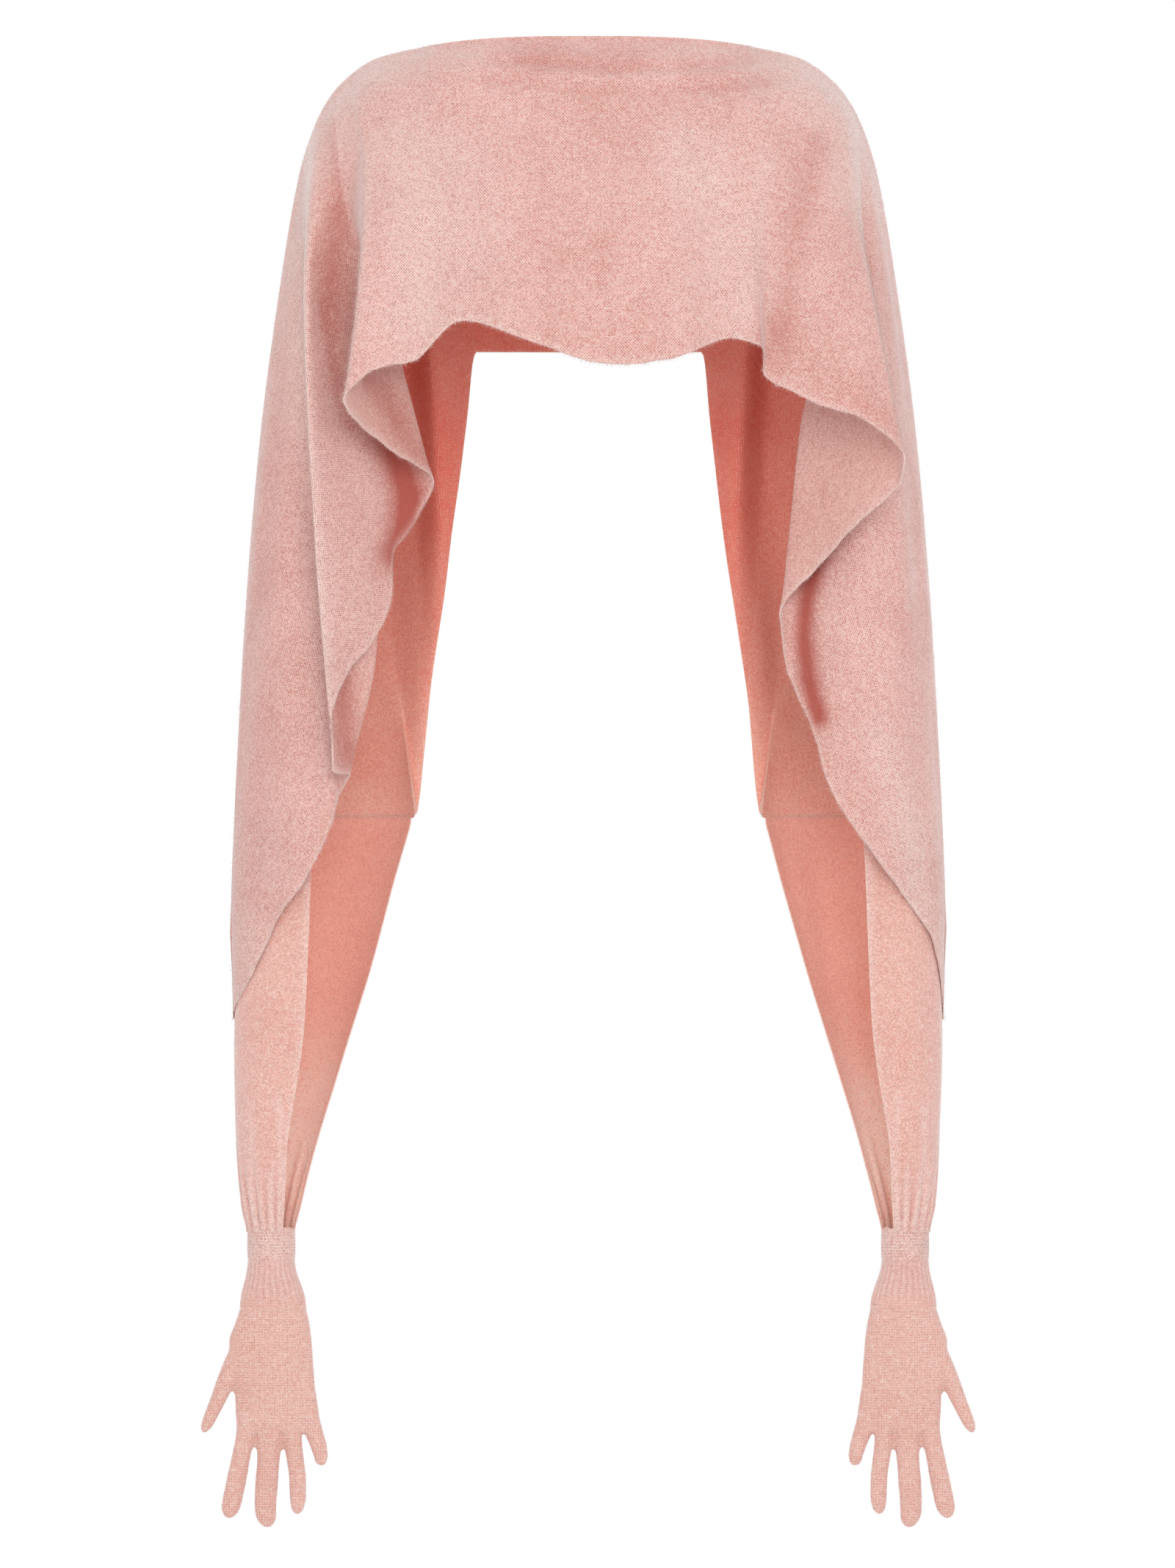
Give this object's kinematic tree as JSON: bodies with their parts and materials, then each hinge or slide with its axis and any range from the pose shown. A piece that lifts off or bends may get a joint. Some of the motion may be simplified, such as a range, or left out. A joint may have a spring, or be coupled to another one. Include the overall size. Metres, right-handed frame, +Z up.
{
  "type": "knit cape with attached gloves",
  "caption": "Brushed knit cape with a boat neck, a long waved front that cascades over both arms, gathered sleeves open along the inner front, and attached gloves.",
  "frame": {"origin": "middle of the neck opening, level with its front and back edges, where the wearer's shoulders hold the cape", "axes": "+Z up, -Y towards the front of the garment, +X towards the wearer's left"},
  "size_m": [0.5806, 0.239, 1.117],
  "materials": {
    "brushed knit front": "fine brushed mohair knit, matt with a pale halo",
    "knit back": "fine mohair knit seen from inside, matt",
    "open knit sleeve": "sheer fine knit, matt",
    "wrist band": "knitted band",
    "ribbed wrist": "fine ribbed knit",
    "glove knit": "fine soft knit"
  },
  "bodies": {
    "root": {"front_right_arm": "brushed knit front", "front_right_lower_fold": "brushed knit front", "front_right_fold": "brushed knit front", "front_middle": "brushed knit front", "front_left_fold": "brushed knit front", "front_left_arm": "brushed knit front", "back_right": "knit back", "back_middle": "knit back", "back_left": "knit back", "sleeve_left": "open knit sleeve", "sleeve_right": "open knit sleeve", "cuff_left": "wrist band", "cuff_right": "wrist band", "glove_left_rib": "ribbed wrist", "glove_right_rib": "ribbed wrist", "glove_left_palm": "glove knit", "glove_left_thumb": "glove knit", "glove_left_index": "glove knit", "glove_left_middle": "glove knit", "glove_left_ring": "glove knit", "glove_left_little": "glove knit", "glove_right_palm": "glove knit", "glove_right_thumb": "glove knit", "glove_right_index": "glove knit", "glove_right_middle": "glove knit", "glove_right_ring": "glove knit", "glove_right_little": "glove knit"}
  },
  "joints": []
}
